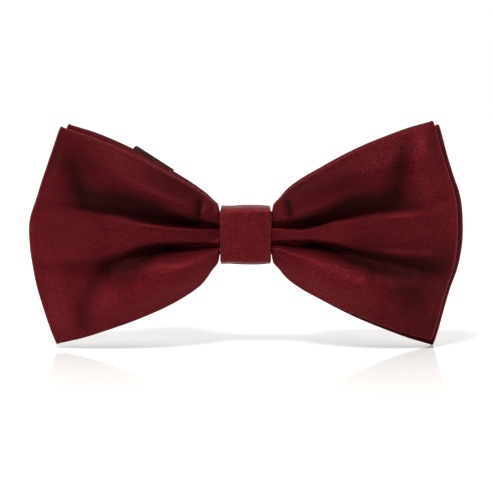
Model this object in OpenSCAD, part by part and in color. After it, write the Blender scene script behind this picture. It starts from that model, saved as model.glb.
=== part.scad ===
// Pre-tied double bow tie. The front faces -Y and +Z is up.
// The origin is the centre of the knot's flat back, which rests on the collar.
// Each arm of the neck strap is folded like a concertina behind its own wing.

/* [Bow] */
// Width of the bow, from outer fold to outer fold
bow_w = 120; // [100:1:140]
// Height of the front bow at its tips
bow_h = 62; // [54:1:72]
// Height of the rear bow at its tips
rear_h = 61.6; // [54:0.1:72]
// How far the middle of both bows sits above the knot's middle
bow_rise = 0.3; // [0:0.1:1]
// How far the rear bow is turned, clockwise from the front
rear_turn = 0.8; // [0:0.1:2]
// Radius of the arc that each outer fold follows
edge_r = 70; // [62:1:90]
// Thickness of one panel, two satin layers on an interlining
panel_t = 1.4; // [1.2:0.05:1.6]
// Thickness of the interlining in a panel
canvas_t = 0.6; // [0.4:0.05:0.8]
// Hem between the interlining and the panel's edge
canvas_hem = 1.5; // [1:0.1:3]
// Gap between the two panels of a loop at its outer fold
fold_gap = 1.2; // [0.8:0.1:2]
// How far the front panel puffs forward
front_puff = 4.5; // [2:0.1:6]
// How far the rearmost panel puffs backward
rear_puff = 4.6; // [3:0.1:5.5]

/* [Knot] */
// Width of the knot
knot_w = 14; // [12:0.5:18]
// Height of the knot
knot_h = 15.5; // [14.8:0.1:20]
// Radius of the knot's long edges
knot_r = 2; // [1.5:0.1:3]
// Thickness of the knot's satin
wrap_t = 0.5; // [0.4:0.05:0.8]
// Thickness of the knot's liner
liner_t = 0.4; // [0.3:0.05:0.6]
// Diameter of the thread that binds the pleats
thread_d = 0.35; // [0.3:0.05:0.5]
// Turns of that thread
thread_turns = 11; // [5:1:15]

/* [Neck strap] */
// Width of the strap
strap_w = 12; // [10:0.5:12.5]
// Thickness of the strap
strap_t = 0.9; // [0.6:0.05:1.1]
// Gap between two runs of the folded strap
run_gap = 0.55; // [0.4:0.05:1]
// Distance of the outer folds inside the bow's widest point
outer_inset = 6; // [5:0.5:9]
// Distance of the inner folds from the middle of the right arm
inner_x = 14.5; // [14:0.5:18]

/* [Metal parts] */
// Thickness of the stamped hook, eye and slider
metal_t = 1; // [0.8:0.1:1.2]
// Space beside the strap in the hook, eye and slider
strap_play = 0.4; // [0.3:0.1:0.6]
// Width of the side arms of the hook and the eye
arm_w = 2.1; // [1.6:0.1:2.6]
// Length of the hook's plate
hook_plate = 10.6; // [9:0.1:14]
// Width of the hook's tongue
tongue_w = 5; // [4:0.5:7]
// Length of the eye's opening, past the strap
eye_gap = 5; // [4.6:0.1:7]
// Width of the eye's free bar
eye_bar = 1.6; // [1.2:0.1:2.4]
// Length of the slider along the strap
slider_l = 9; // [8:0.5:10]
// Width of the slider's end bars
slider_bar = 1.4; // [1:0.1:1.6]

/* [Hidden] */
$fn = 48;
cut = 0.05;

// Colours
SATIN = [0.38, 0.1, 0.13];
SATIN_REAR = [0.3, 0.08, 0.11];
CANVAS = [0.86, 0.83, 0.76];
THREAD = [0.24, 0.05, 0.08];
STRAP = [0.34, 0.09, 0.12];
NICKEL = [0.62, 0.61, 0.58];

// Stack through the knot, from its back at y = 0 to its front
fit_gap = 0.1;
layer_gap = 0.06;
wall_t = wrap_t + liner_t;
strap_y = -(wall_t + fit_gap + strap_t / 2);
bundle_back = -(wall_t + 2 * fit_gap + strap_t + thread_d);
bundle_d = 4 * panel_t + 3 * layer_gap;
bundle_front = bundle_back - bundle_d;
knot_d = thread_d + fit_gap + wall_t - bundle_front;

// The knot's long edges are no rounder than the strap's corners inside it allow
thread_play = 0.05;
strap_room = knot_h / 2 - wall_t - strap_w / 2;
knot_edge_r = min(knot_r, wall_t + fit_gap + strap_room + sqrt(2 * fit_gap * strap_room));

// Room above and below the bound pleats, so that the thread clears the rounded liner
liner_r = knot_edge_r - wall_t;
corner_room = liner_r - sqrt(max(0, pow(liner_r - thread_d - 0.02, 2)
    - pow(liner_r - thread_d - fit_gap, 2)));
waist_room = max(corner_room, thread_d + fit_gap) + thread_play;
waist_h = knot_h - 2 * (wall_t + waist_room + bow_rise);
function layer_y(k) = bundle_back - panel_t / 2 - k * (panel_t + layer_gap);

// Wings
half_w = bow_w / 2;
edge_x = half_w - edge_r;
waist_x = knot_w / 2 + 0.2;
flat_u = 0.03;
rim_power = 0.58;
loop_r = (fold_gap + panel_t) / 2;
fold_path_r = edge_r - loop_r - panel_t / 2;
loop_pitch = 2 * (loop_r + panel_t) - 0.6;
rear_tip_y = layer_y(1) + 0.6;
front_tip_y = rear_tip_y - loop_pitch;
butt_gap = 0.15;
PANEL_STEPS = 10;
FOLD_STEPS = 6;
ROWS = 8;

// Strap arms
pitch = strap_t + run_gap;
arm_y = layer_y(0) + rear_puff + panel_t / 2 + strap_t / 2 + 0.55;
outer_x = half_w - outer_inset;
exit_x = waist_x + 1.5;
arm_x = waist_x + 6;
swing_x = waist_x + 3.7;
swing_y = (strap_y + arm_y) / 2;
bend_r = pitch / 2;
bar_r = metal_t / 2;
bar_lift = strap_t / 2 + 0.05 + bar_r;
eyelet_w = strap_w / 2 + strap_play;
hook_half_w = eyelet_w + arm_w;
clear_x = bar_r + 0.05 + strap_t + 0.45;
hook_run = 9.6;
hook_turn = 147;
left_inner = [-17, 4.7];
eye_x = outer_x - 10;
slider_x = inner_x + 14.5;
slider_lift = strap_t * 1.5 + 0.2 + metal_t / 2;
sewn_reach = slider_l / 2 + 3.5;
tack_rows = 6;
tack_r = 0.16;

function unit(a) = [cos(a), sin(a)];
function mid(a, b) = (a + b) / 2;

// Each arm: where its runs meet, from the knot outward, and the way each run goes
left_stops = [[-arm_x, 0], [-outer_x, 0], left_inner];
left_ways = [180, atan2(left_inner[1], left_inner[0] + outer_x), hook_turn];
right_stops = [[arm_x, 0], [outer_x, 0], [inner_x, 0], [outer_x, 0], [inner_x, 0]];
right_ways = [0, 180, 0, 180, 0];
function run_y(k) = arm_y + k * pitch;
function crease(ways, k) = mid(ways[k - 1], ways[k]);

// Points at the two edges of a strip, half w aside of p, on a line at angle c
function end_corners(p, a, c) = [for (s = [-1, 1])
    p + s * strap_w / 2 * ([-sin(a), cos(a)] + cos(c - a) / sin(c - a) * unit(a))];

// A flat run of strap between p and q, cut at the angles c0 and c1, centred on y
module flat_run(p, q, a, c0, c1, y) {
    start = end_corners(p, a, c0);
    end = end_corners(q, a, c1);
    translate([0, y + strap_t / 2, 0])
        rotate([90, 0, 0])
            linear_extrude(strap_t)
                polygon([start[0], end[0], end[1], start[1]]);
}

// The half turn of strap at a fold between y and y + pitch
module fold_turn(p, a, c, y) {
    out = cos(c - 90 - a) > 0 ? c - 90 : c + 90;
    translate([p[0], y + bend_r, p[1]])
        rotate([0, -out, 0])
            linear_extrude(strap_w / abs(sin(c - a)), center = true)
                difference() {
                    circle(bend_r + strap_t / 2);
                    circle(bend_r - strap_t / 2);
                    translate([-2 * pitch, 0])
                        square([4 * pitch, 4 * pitch], center = true);
                }
}

// Outline of a strip t thick whose middle follows the points
function normal_at(pts, i) =
    let (d = pts[min(i + 1, len(pts) - 1)] - pts[max(i - 1, 0)])
    [-d[1], d[0]] / norm(d);
function strip(pts, t) = concat(
    [for (i = [0:len(pts) - 1]) pts[i] + normal_at(pts, i) * t / 2],
    [for (i = [len(pts) - 1:-1:0]) pts[i] - normal_at(pts, i) * t / 2]);
function arc(centre, r, from, to, n) =
    [for (i = [0:n]) centre + r * unit(from + (to - from) * i / n)];

// A strip of width w that follows points in X and Y
module ribbon(pts, t, w) {
    linear_extrude(w, center = true)
        polygon(strip(pts, t));
}

// Turns a metal part or a strap end from its own X to the way that its run goes
module along(p, a, y) {
    translate([p[0], y, p[1]])
        rotate([0, -a, 0])
            children();
}

/* Bow panels */

// Half the height of a bow at u, from 0 at the waist to 1 at the fold
function tip_angle(h) = asin(h / 2 / edge_r);
function rim(h, u) = let (tip = fold_path_r * sin(tip_angle(h)))
    waist_h / 2 + (tip - waist_h / 2) * pow(u, rim_power);

// Middle of a panel at u, where it runs from knot_y to tip_y and puffs in between
function panel_y(u, knot_y, tip_y, puff) =
    let (s = max(0, (u - flat_u) / (1 - flat_u)))
    knot_y + (tip_y - knot_y) * s + puff * sin(180 * s);

// A station is [kind, place, side]. On a panel its place is u, on a fold an angle, and in
// the waist an x. Each point lies v up the panel, and off outward of the loop's middle.
function panel_point(b, front, u, side, v, off) =
    let (a = v * tip_angle(b[H]),
        x = waist_x + (edge_x + fold_path_r * cos(a) - waist_x) * u,
        z = v * rim(b[H], u) * (1 - pow(u, 4)) + fold_path_r * sin(a) * pow(u, 4),
        k = b[LAYER] - (front ? 0 : 1),
        tip_y = b[TIP_Y] + (front ? -loop_r : loop_r),
        y = panel_y(u, layer_y(k), tip_y, b[PUFFS][front ? 0 : 1]))
    [side * x, y + (front ? -off : off), z];
function fold_point(b, turn, side, v, off) =
    let (a = v * tip_angle(b[H]), out = fold_path_r + (loop_r + off) * cos(turn))
    [side * (edge_x + out * cos(a)), b[TIP_Y] + (loop_r + off) * sin(turn), out * sin(a)];
function butt_point(b, x, v, off) = [x, layer_y(b[LAYER] - 1) + off, v * waist_h / 2];
function loop_point(b, s, v, off) =
    s[0] == "fold" ? fold_point(b, s[1], s[2], v, off)
    : s[0] == "butt" ? butt_point(b, s[1], v, off)
    : panel_point(b, s[0] == "front", s[1], s[2], v, off);

// All the way round a bow, from the butt of its ends at the rear and back to it
us = [for (i = [0:PANEL_STEPS]) pow(i / PANEL_STEPS, 1.5)];
turns = [for (i = [1:FOLD_STEPS - 1]) 90 - 180 * i / FOLD_STEPS];
function reversed(list) = [for (i = [len(list) - 1:-1:0]) list[i]];
function stations(butt) = concat(
    [["butt", butt, 1]], [for (u = us) ["rear", u, 1]],
    [for (a = turns) ["fold", a, 1]], [for (u = reversed(us)) ["front", u, 1]],
    [for (u = us) ["front", u, -1]], [for (a = reversed(turns)) ["fold", a, -1]],
    [for (u = reversed(us)) ["rear", u, -1]], [["butt", -butt, -1]]);

// The points round a bow's section at station s, t thick and held in by hem
rows = [for (j = [0:ROWS]) 2 * j / ROWS - 1];
ring = 2 * len(rows);
function section(b, s, t, hem) =
    let (reach = 1 - 2 * hem / b[H])
    concat([for (v = rows) loop_point(b, s, reach * v, t / 2)],
        [for (v = reversed(rows)) loop_point(b, s, reach * v, -t / 2)]);
function quad(p, q, r, s) = [[p, r, q], [p, s, r]];

// The faces that join the rings of n stations, the first of whose points is numbered from
function sweep_faces(n, from) =
    [for (i = [0:n - 2], k = [0:ring - 1])
        let (p = from + i * ring, q = (k + 1) % ring)
        each quad(p + k, p + q, p + ring + q, p + ring + k)];
function turned(faces) = [for (f = faces) reversed(f)];

module interlining(b) {
    at = stations(butt_gap - 0.05);
    end = (len(at) - 1) * ring;
    caps = [for (j = [0:len(rows) - 2])
        each concat(quad(j + 1, j, ring - 1 - j, ring - 2 - j),
            quad(end + j, end + j + 1, end + ring - 2 - j, end + ring - 1 - j))];
    polyhedron([for (s = at) each section(b, s, canvas_t, canvas_hem)],
        concat(sweep_faces(len(at), 0), caps));
}

// Satin all round the interlining, open at the butt
module satin_tube(b) {
    at = stations(butt_gap);
    n = len(at) * ring;
    end = n - ring;
    rims = [for (k = [0:ring - 1])
        let (q = (k + 1) % ring)
        each concat(quad(q, k, n + k, n + q), quad(end + k, end + q, n + end + q, n + end + k))];
    polyhedron([for (edge = [[panel_t, 0], [canvas_t, canvas_hem]], s = at)
            each section(b, s, edge[0], edge[1])],
        concat(sweep_faces(len(at), 0), turned(sweep_faces(len(at), n)), rims));
}

// A bow's height, its front panel's place in the waist, its fold's depth and its puffs
H = 0;
LAYER = 1;
TIP_Y = 2;
PUFFS = 3;
FRONT_BOW = [bow_h, 3, front_tip_y, [-front_puff, 0]];
REAR_BOW = [rear_h, 1, rear_tip_y, [0, rear_puff]];

module place_front() {
    translate([0, 0, bow_rise])
        children();
}

module place_rear() {
    translate([0, 0, bow_rise])
        rotate([0, rear_turn, 0])
            children();
}

module front_bow_satin() {
    color(SATIN)
        place_front()
            satin_tube(FRONT_BOW);
}

module front_bow_interlining() {
    color(CANVAS)
        place_front()
            interlining(FRONT_BOW);
}

module rear_bow_satin() {
    color(SATIN_REAR)
        place_rear()
            satin_tube(REAR_BOW);
}

module rear_bow_interlining() {
    color(CANVAS)
        place_rear()
            interlining(REAR_BOW);
}

/* Knot */

// Section of the knot, drawn in Y and Z, held in by inset
module knot_section(inset, r) {
    w = knot_d - 2 * inset;
    h = knot_h - 2 * inset;
    translate([-knot_d / 2, 0]) {
        square([w - 2 * r, h], center = true);
        square([w, h - 2 * r], center = true);
        for (sx = [-1, 1], sz = [-1, 1])
            translate([sx * (w / 2 - r), sz * (h / 2 - r)])
                circle(r);
    }
}

// Turns a section in Y and Z into a prism of width w along X
module across(w) {
    rotate([90, 0, 90])
        linear_extrude(w, center = true)
            children();
}

// Place of the wrap's lapped edge under the knot
lap_y = -knot_d * 0.45;
lap_slit = 0.15;

module knot_wrap() {
    color(SATIN) {
        difference() {
            across(knot_w)
                difference() {
                    knot_section(0, knot_edge_r);
                    knot_section(wrap_t, knot_edge_r - wrap_t);
                }
            translate([0, lap_y, -knot_h / 2])
                cube([knot_w + 1, lap_slit, 2 * wrap_t - cut], center = true);
        }
    }
}

module knot_liner() {
    color(CANVAS)
        across(knot_w - 1)
            difference() {
                knot_section(wrap_t, knot_edge_r - wrap_t);
                knot_section(wall_t, liner_r);
            }
}

// Slip stitches that close the lapped edge
module knot_stitches() {
    stitch_r = 0.18;
    stitch_l = 1.3;
    color(THREAD)
        for (x = [-2:2])
            translate([x * (knot_w - 3) / 4, lap_y, -knot_h / 2 - stitch_r + 0.04])
                rotate([90, 0, 18])
                    cylinder(r = stitch_r, h = stitch_l, center = true, $fn = 16);
}

// Turns of thread, lying side by side round the pleats
module pleat_binding_thread() {
    color(THREAD)
        translate([0, mid(bundle_back, bundle_front), bow_rise])
            across(thread_turns * thread_d)
                difference() {
                    offset(r = thread_d)
                        square([bundle_d, waist_h + 2 * thread_play], center = true);
                    square([bundle_d, waist_h + 2 * thread_play], center = true);
                }
}

/* Neck strap */

module strap_centre() {
    color(STRAP)
        translate([0, strap_y, 0])
            cube([2 * exit_x, strap_t, strap_w], center = true);
}

// The bend between the knot and an arm
module strap_bend(side) {
    rise = arm_y - strap_y;
    flat = 0.3;
    turn = 1;
    pts = [[exit_x, strap_y], [exit_x + flat, strap_y],
        [exit_x + flat + turn, strap_y + 0.12 * rise], [swing_x, swing_y],
        [arm_x - flat - turn, arm_y - 0.12 * rise], [arm_x - flat, arm_y], [arm_x, arm_y]];
    color(STRAP)
        mirror([side < 0 ? 1 : 0, 0, 0])
            ribbon(pts, strap_t, strap_w);
}

// Run k of an arm, counted from 0 at the knot
module strap_run(stops, ways, k) {
    first = k == 0 ? 90 : crease(ways, k);
    color(STRAP)
        flat_run(stops[k], stops[k + 1], ways[k], first, crease(ways, k + 1), run_y(k));
}

// Fold k of an arm, between runs k - 1 and k
module strap_fold(stops, ways, k) {
    color(STRAP)
        fold_turn(stops[k], ways[k - 1], crease(ways, k), run_y(k - 1));
}

// Middle line of the strap where it goes round a bar at x = 0 and comes back
bar_turn_r = bar_r + 0.05 + strap_t / 2;
back_lift = strap_t + 0.04;
function round_bar(start, back) = concat(
    [[start, 0], [0, 0]],
    arc([0, bar_lift], bar_turn_r, -80, 80, 8),
    [[-0.4, 2 * bar_lift], [-1.6, 2 * bar_lift - 0.1], [-3.4, back_lift + 0.05],
        [-4.4, back_lift], [back, back_lift]]);

hook_stop = left_inner + hook_run * unit(hook_turn);
hook_tail = 7.6;

module strap_left_run_3() {
    lead = 2.2;
    near = left_inner + lead * unit(hook_turn);
    color(STRAP) {
        flat_run(left_inner, near, hook_turn, crease(left_ways, 2), hook_turn + 90, run_y(2));
        along(hook_stop, hook_turn, run_y(2))
            ribbon(round_bar(lead - hook_run - cut, -hook_tail), strap_t, strap_w);
    }
}

eye_stop = [eye_x, 0];

module strap_right_run_5() {
    color(STRAP) {
        along(eye_stop, 0, run_y(4))
            ribbon(round_bar(inner_x - eye_x, slider_x + sewn_reach - eye_x), strap_t, strap_w);
    }
}

// Rows of thread across a sewn end, lying on the strap
module tack(width, pitch_x) {
    for (i = [0:tack_rows - 1])
        translate([i * pitch_x, tack_r + 0.01, 0])
            cylinder(r = tack_r, h = width, center = true, $fn = 16);
}

module hook_end_tack() {
    color(THREAD)
        along(hook_stop, hook_turn, run_y(2))
            translate([1.2 - hook_tail, back_lift + strap_t / 2, 0])
                tack(strap_w - 2, 0.45);
}

/* Metal parts */

// The round bar that a strap end turns on, and the side arms that carry it to x = reach
module bar_and_arms(reach) {
    cylinder(r = bar_r, h = 2 * eyelet_w + cut, center = true);
    for (s = [-1, 1]) {
        translate([0, 0, s * (eyelet_w + arm_w / 2)])
            cylinder(r = bar_r, h = arm_w, center = true);
        translate([reach / 2, 0, s * (eyelet_w + arm_w / 2)])
            cube([reach, metal_t, arm_w], center = true);
    }
}

// A plate in X and Z with two rounded far corners
module plate(x0, x1, half, r) {
    rotate([90, 0, 0])
        linear_extrude(metal_t, center = true) {
            translate([x0, -half])
                square([x1 - x0 - r, 2 * half]);
            translate([x0, -half + r])
                square([x1 - x0, 2 * half - 2 * r]);
            for (s = [-1, 1])
                translate([x1 - r, s * (half - r)])
                    circle(r);
        }
}

module neck_hook() {
    far = clear_x + hook_plate;
    tongue_t = 0.8;
    lift = 2.1;
    color(NICKEL)
        along(hook_stop, hook_turn, run_y(2) + bar_lift) {
            bar_and_arms(clear_x + cut);
            plate(clear_x, far, hook_half_w, 0.8);
            ribbon(concat([[far - 3, 0]], arc([far - 1.2, lift / 2], lift / 2, -90, 90, 8),
                [[far - 6.5, lift - 0.1], [far - 7.8, lift + 0.4]]), tongue_t, tongue_w);
        }
}

module neck_eye() {
    far = clear_x + eye_gap + eye_bar;
    color(NICKEL)
        along(eye_stop, 0, run_y(4) + bar_lift) {
            bar_and_arms(clear_x + eye_gap + cut);
            plate(clear_x + eye_gap, far, hook_half_w, 0.8);
        }
}

slider_stop = [slider_x, 0];

module adjuster_slider() {
    color(NICKEL)
        along(slider_stop, 0, run_y(4) + slider_lift) {
            cylinder(r = metal_t / 2, h = 2 * eyelet_w + cut, center = true);
            for (s = [-1, 1]) {
                translate([s * (slider_l - slider_bar) / 2, 0, 0])
                    cube([slider_bar, metal_t, 2 * eyelet_w + cut], center = true);
                translate([0, 0, s * (eyelet_w + arm_w / 2)])
                    cube([slider_l, metal_t, arm_w], center = true);
            }
        }
}

// The strap's end: under the slider, round its middle bar and sewn down on itself
module adjuster_sewn_end() {
    gap = 0.05;
    turn_r = metal_t / 2 + gap + strap_t / 2;
    over = slider_lift + turn_r;
    low = slider_lift - turn_r;
    color(STRAP)
        along(slider_stop, 0, run_y(4))
            ribbon(concat([[sewn_reach - gap, back_lift], [slider_l / 2, back_lift], [1, low]],
                arc([0, slider_lift], turn_r, -90, -270, 10),
                [[0.8, over - 0.1], [1.7, over - 0.7]]),
                strap_t, strap_w);
}

module adjuster_tack() {
    color(THREAD)
        along(slider_stop, 0, run_y(4) + slider_lift + metal_t / 2 + 0.05 + strap_t)
            translate([-0.9, 0, 0])
                tack(strap_w - 2, 0.36);
}

front_bow_satin();
front_bow_interlining();
rear_bow_satin();
rear_bow_interlining();
pleat_binding_thread();
knot_wrap();
knot_liner();
knot_stitches();
strap_centre();
strap_bend(-1);  // strap_left_bend
strap_run(left_stops, left_ways, 0);  // strap_left_run_1
strap_fold(left_stops, left_ways, 1);  // strap_left_fold_1
strap_run(left_stops, left_ways, 1);  // strap_left_run_2
strap_fold(left_stops, left_ways, 2);  // strap_left_fold_2
strap_left_run_3();
hook_end_tack();
neck_hook();
strap_bend(1);  // strap_right_bend
strap_run(right_stops, right_ways, 0);  // strap_right_run_1
strap_fold(right_stops, right_ways, 1);  // strap_right_fold_1
strap_run(right_stops, right_ways, 1);  // strap_right_run_2
strap_fold(right_stops, right_ways, 2);  // strap_right_fold_2
strap_run(right_stops, right_ways, 2);  // strap_right_run_3
strap_fold(right_stops, right_ways, 3);  // strap_right_fold_3
strap_run(right_stops, right_ways, 3);  // strap_right_run_4
strap_fold(right_stops, right_ways, 4);  // strap_right_fold_4
strap_right_run_5();
neck_eye();
adjuster_slider();
adjuster_sewn_end();
adjuster_tack();
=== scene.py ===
"""Looks of a pre-tied double bow tie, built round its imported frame.

Every length in the modelling code is in millimetres and becomes metres when a mesh is made.
The front faces -Y and +Z is up, as in the frame.
"""
import math

import bmesh
import bpy
import numpy as np
from mathutils import Matrix, Vector


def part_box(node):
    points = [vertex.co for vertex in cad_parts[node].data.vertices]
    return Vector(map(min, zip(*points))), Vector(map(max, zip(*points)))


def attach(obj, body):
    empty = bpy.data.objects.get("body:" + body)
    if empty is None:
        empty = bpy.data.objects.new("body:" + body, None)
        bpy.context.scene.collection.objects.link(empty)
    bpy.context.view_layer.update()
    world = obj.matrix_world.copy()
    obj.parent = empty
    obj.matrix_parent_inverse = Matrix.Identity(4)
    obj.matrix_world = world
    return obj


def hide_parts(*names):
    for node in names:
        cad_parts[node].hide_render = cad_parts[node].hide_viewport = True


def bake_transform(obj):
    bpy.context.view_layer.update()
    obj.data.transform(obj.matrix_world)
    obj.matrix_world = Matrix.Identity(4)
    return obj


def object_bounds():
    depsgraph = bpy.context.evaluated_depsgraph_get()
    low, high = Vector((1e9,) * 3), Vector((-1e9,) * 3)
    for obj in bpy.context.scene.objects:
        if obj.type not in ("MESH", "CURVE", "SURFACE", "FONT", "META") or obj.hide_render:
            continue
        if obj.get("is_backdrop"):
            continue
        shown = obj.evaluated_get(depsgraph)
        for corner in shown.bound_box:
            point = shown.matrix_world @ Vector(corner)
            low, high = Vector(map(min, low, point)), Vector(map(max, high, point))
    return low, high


bl_info = {
    "name": "Double Bow Tie",
    "version": (1, 0, 0),
    "blender": (4, 5, 0),
    "location": "View3D > Sidebar > Bow Tie",
    "description": "Models the satin, thread, strap and nickel of a pre-tied bow tie on its frame",
    "category": "Object",
}

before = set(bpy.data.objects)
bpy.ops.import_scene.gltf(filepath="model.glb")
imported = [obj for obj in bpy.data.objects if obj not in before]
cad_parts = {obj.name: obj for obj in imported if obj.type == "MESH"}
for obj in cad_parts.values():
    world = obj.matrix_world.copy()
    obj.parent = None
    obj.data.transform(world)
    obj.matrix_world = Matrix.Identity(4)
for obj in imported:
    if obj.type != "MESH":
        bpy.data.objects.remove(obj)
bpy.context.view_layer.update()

MM = 0.001
RIGHT, LEFT = 1, -1


# ---------------------------------------------------------------- sizes from the frame


def box(node):
    """Lowest and highest corner of a CAD node, in millimetres."""
    low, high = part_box(node)
    return np.array(low) / MM, np.array(high) / MM


def middle(node):
    low, high = box(node)
    return (low + high) / 2


def size(node):
    low, high = box(node)
    return high - low


BOW_LOW, BOW_HIGH = box("front_bow_satin")
HALF_W = BOW_HIGH[0]
EDGE_R = 70.0
FRONT_H = 61.4
REAR_H = 61.4
BOW_RISE = (BOW_LOW[2] + BOW_HIGH[2]) / 2
REAR_TURN = math.radians(0.3)
REAR_SHIFT = 1.75
KNOT_LOW, KNOT_HIGH = box("knot_wrap")
KNOT_W, KNOT_D, KNOT_H = size("knot_wrap")
KNOT_R = 2.0
WRAP_T = 0.5
WALL_T = 0.9
THREAD_D = 0.35
THREAD_TURNS = 11
BUNDLE_BACK = box("pleat_binding_thread")[1][1] - THREAD_D
BUNDLE_FRONT = box("pleat_binding_thread")[0][1] + THREAD_D
PANEL_PITCH = (BUNDLE_BACK - BUNDLE_FRONT) / 4
WAIST_H = size("pleat_binding_thread")[2] - 2 * THREAD_D
WAIST_X = KNOT_W / 2 + 0.2
REAR_TIP_Y = BUNDLE_BACK - 1.5 * PANEL_PITCH + 0.6
FRONT_TIP_Y = REAR_TIP_Y - 4.8
# Places of the two bows' front panels in the bundle under the knot, counted from its back
FRONT_LAYER, REAR_LAYER = 3, 1
CANVAS_HEM = 1.5
LAP_Y = KNOT_LOW[1] + KNOT_D * 0.55
CLOTH_GAP = 0.04

STRAP_T = size("strap_centre")[1]
STRAP_W = size("strap_centre")[2]
EXIT_X = box("strap_centre")[1][0]
ARM_X = box("strap_right_run_1")[0][0]
OUTER_X = box("strap_right_run_1")[1][0]
INNER_X = box("strap_right_run_2")[0][0]
STRAP_Y = middle("strap_centre")[1]
ARM_Y = middle("strap_right_run_1")[1]
PITCH = middle("strap_right_run_2")[1] - ARM_Y
METAL_T = size("adjuster_slider")[1]
LEFT_INNER = np.array([-17.0, 4.7])
HOOK_TURN = 147.0
HOOK_RUN = 9.6
HOOK_TAIL = 7.6
EYE_X = OUTER_X - 10
SLIDER_X = INNER_X + 14.5
SLIDER_L = 9.0
BAR_R = METAL_T / 2
BAR_PLAY = 0.05
BAR_LIFT = STRAP_T / 2 + BAR_PLAY + BAR_R
BACK_LIFT = STRAP_T + CLOTH_GAP
SLIDER_LIFT = STRAP_T * 1.5 + 0.2 + METAL_T / 2
SEWN_REACH = SLIDER_L / 2 + 3.5

# Slope of the twill ribs on each cloth in degrees, rib pitch in metres, yarns of the plain weaves
BOW_TWILL, KNOT_TWILL, STRAP_TWILL = 131, 128, 52
RIB_PITCH = 0.00052
CANVAS_YARNS, THREAD_YARNS = 2600.0, 9000.0


# ---------------------------------------------------------------- settings


def length_setting(name, description, default, low, high):
    """A length, given here in millimetres and kept in metres."""
    return bpy.props.FloatProperty(
        name=name, description=description, default=default * MM, min=low * MM, max=high * MM,
        subtype="DISTANCE", unit="LENGTH")


def colour_setting(name, description, default):
    return bpy.props.FloatVectorProperty(
        name=name, description=description, size=3, subtype="COLOR", min=0, max=1,
        default=default)


class BowSettings(bpy.types.PropertyGroup):
    """Sizes of the bows and the knot."""

    satin_t: length_setting("Satin", "Thickness of the satin", 0.22, 0.1, 0.4)
    panel_t: length_setting("Panel", "Thickness of a finished panel", 0.95, 0.7, 1.4)
    canvas_t: length_setting("Interlining", "Thickness of the interlining", 0.4, 0.2, 0.6)
    fold_r: length_setting("Fold", "Radius of the outer folds, at the panel's middle",
                           0.75, 0.5, 1.3)
    pleat_depth: bpy.props.FloatProperty(
        name="Pleats", description="Depth of the pleats as a share of the usual depth",
        default=1.0, min=0.0, max=1.5, subtype="FACTOR")


class FinishSettings(bpy.types.PropertyGroup):
    """Colours of the finishes."""

    satin: colour_setting("Satin", "Colour of the satin", (0.010, 0.0008, 0.0014))
    satin_light: colour_setting("Satin float", "Colour of the satin's floating threads",
                                (0.185, 0.0125, 0.0175))
    thread: colour_setting("Thread", "Colour of the sewing thread", (0.03, 0.003, 0.0045))
    canvas: colour_setting("Canvas", "Colour of the interlining", (0.62, 0.57, 0.48))
    nickel: colour_setting("Nickel", "Colour of the plated metal", (0.36, 0.355, 0.34))
    floor: colour_setting("Floor", "Colour of the floor", (0.90, 0.89, 0.875))


class StudioSettings(bpy.types.PropertyGroup):
    """Camera and lights."""

    distance: bpy.props.FloatProperty(
        name="Distance", description="Distance of the camera", default=0.8, min=0.3, max=2,
        subtype="DISTANCE", unit="LENGTH")
    elevation: bpy.props.FloatProperty(
        name="Elevation", description="Height of the camera over the horizon",
        default=math.radians(7), min=0, max=math.radians(60), subtype="ANGLE")
    lens: bpy.props.FloatProperty(
        name="Lens", description="Focal length in millimetres", default=209.3, min=50, max=400)
    key_power: bpy.props.FloatProperty(
        name="Key", description="Power of the key light in watts", default=13.0, min=0, max=60)
    fill_power: bpy.props.FloatProperty(
        name="Fill", description="Power of the fill light in watts", default=2.0, min=0, max=60)
    sky: bpy.props.FloatProperty(
        name="Sky", description="Strength of the light from behind", default=1.05, min=0, max=3)
    front_sky: bpy.props.FloatProperty(
        name="Front sky", description="Strength of the light from in front", default=0.13,
        min=0, max=3)


def bow_settings():
    return bpy.context.scene.bow_tie_sizes


def finish_settings():
    return bpy.context.scene.bow_tie_finish


def studio_settings():
    return bpy.context.scene.bow_tie_studio


# ---------------------------------------------------------------- meshes


def smooth(value, low, high):
    t = np.clip((value - low) / (high - low), 0, 1)
    return t * t * (3 - 2 * t)


def through(x, points):
    """A smooth curve through (x, y) points, read at x and level beyond its ends."""
    px, py = np.array(points, float).T
    slope = np.gradient(py, px)
    i = np.clip(np.searchsorted(px, x) - 1, 0, len(px) - 2)
    w = px[i + 1] - px[i]
    t = np.clip((x - px[i]) / w, 0, 1)
    return (py[i] * (1 + 2 * t) * (1 - t) ** 2 + slope[i] * w * t * (1 - t) ** 2
            + py[i + 1] * t * t * (3 - 2 * t) + slope[i + 1] * w * t * t * (t - 1))


def make_piece(name, points, faces, uvs=None, smooth_angle=60, shade=None):
    """A mesh object from points in millimetres, with a (u, v) in metres and a shade a point."""
    mesh = bpy.data.meshes.new(name)
    mesh.from_pydata((np.asarray(points) * MM).tolist(), [], faces)
    mesh.update()
    if uvs is not None:
        layer = mesh.uv_layers.new(name="cloth")
        loops = np.empty(len(mesh.loops), np.int32)
        mesh.loops.foreach_get("vertex_index", loops)
        layer.data.foreach_set("uv", np.asarray(uvs, np.float32)[loops].ravel())
    if shade is not None:
        painted = mesh.attributes.new("painted_shade", "FLOAT", "POINT")
        painted.data.foreach_set("value", np.asarray(shade, np.float32))
    piece = bpy.data.objects.new(name, mesh)
    bpy.context.scene.collection.objects.link(piece)
    bpy.ops.object.select_all(action="DESELECT")
    piece.select_set(True)
    bpy.context.view_layer.objects.active = piece
    bpy.ops.object.shade_smooth_by_angle(angle=math.radians(smooth_angle))
    return piece


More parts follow.
